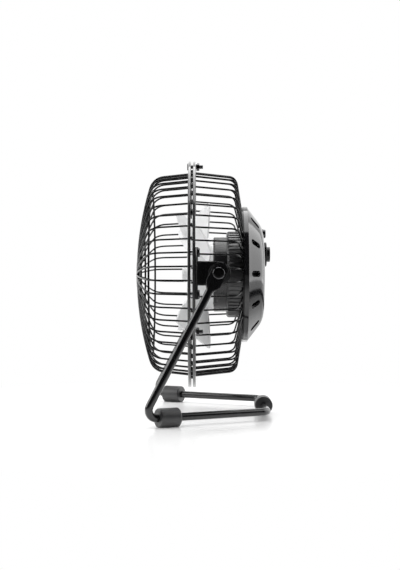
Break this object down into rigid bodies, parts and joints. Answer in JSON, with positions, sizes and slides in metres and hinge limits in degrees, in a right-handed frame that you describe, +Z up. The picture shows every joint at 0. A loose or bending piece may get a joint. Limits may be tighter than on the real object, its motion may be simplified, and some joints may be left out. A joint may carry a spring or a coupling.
{
  "type": "table fan",
  "caption": "Small metal desk fan: wire-caged head with a twisted-blade wheel, turning end over end between the legs of a bent rod stand on rubber feet.",
  "frame": {"origin": "on the table, under the middle of the whole fan", "axes": "+X to the right along the tilt axis seen from the front, +Y rearwards along the fan axis, away from the outgoing air, +Z up"},
  "size_m": [0.222, 0.111, 0.2065],
  "materials": {
    "rod_steel": "dark glossy lacquer on steel",
    "foot_rubber": "matte soft rubber",
    "cage_black": "smooth glossy black coating",
    "screw_dark": "dark zinc",
    "screw_bright": "bright zinc",
    "cover_black": "satin gloss black",
    "pad_black": "matte",
    "blade_pale": "pale, slightly glossy",
    "motor_black": "satin black",
    "housing_black": "matte, ribbed",
    "bush_bronze": "sintered bronze",
    "core_steel": "laminated steel",
    "shaft_steel": "ground steel",
    "coil_copper": "enamelled copper wire",
    "magnet_grey": "ferrite",
    "lead_red": "insulated wire",
    "board_green": "coated board",
    "inlet_steel": "plated steel",
    "spring_steel": "spring wire",
    "button_black": "glossy"
  },
  "bodies": {
    "stand": {"stand_rod": "rod_steel", "front_foot_right": "foot_rubber", "front_foot_left": "foot_rubber", "rear_foot": "foot_rubber"},
    "head": {"front_ring": "cage_black", "rear_ring": "cage_black", "front_wires": "cage_black", "rear_wires": "cage_black", "front_outer_hoop": "cage_black", "front_inner_hoop": "cage_black", "front_disc": "cage_black", "front_badge": "cage_black", "rim_screws": "screw_dark", "rim_washers": "screw_bright", "rim_nuts": "screw_dark", "pivot_bracket_left": "cage_black", "pivot_bracket_right": "cage_black", "bracket_screws": "screw_dark", "ring_spacers": "screw_bright", "pivot_screws": "screw_bright", "pivot_washers": "pad_black", "pivot_nuts": "screw_bright", "rear_plate": "cage_black", "rear_cover": "cover_black", "cover_screw": "screw_dark", "motor_can": "motor_black", "front_bush": "bush_bronze", "end_cap": "core_steel", "rear_bush": "bush_bronze", "motor_housing": "housing_black", "motor_screws": "screw_bright", "stator_core": "core_steel", "windings": "coil_copper", "motor_leads": "lead_red", "circuit_board": "board_green", "board_screws": "screw_bright", "power_inlet": "inlet_steel", "switch_housing": "button_black", "switch_washer": "screw_bright", "switch_nut": "pad_black", "button_spring": "spring_steel"},
    "blade": {"blade_wheel": "blade_pale", "blade_nut": "blade_pale", "motor_shaft": "shaft_steel", "rotor_core": "core_steel", "rotor_magnet": "magnet_grey"},
    "button": {"button_cap": "button_black"}
  },
  "joints": [
    {"name": "head_tilt", "type": "hinge", "parent": "stand", "child": "head", "pos_m": [0, 0.01008, 0.114], "axis": [1, 0, 0], "continuous": true},
    {"name": "blade_spin", "type": "hinge", "parent": "head", "child": "blade", "pos_m": [0, -0.01022, 0.114], "axis": [0, 1, 0], "continuous": true},
    {"name": "button_press", "type": "slide", "parent": "head", "child": "button", "axis": [0, -1, 0], "range_m": [0, 0.0015], "stiffness_N_per_m": 600, "springref_m": -0.002, "deforming": ["button_spring"]}
  ]
}
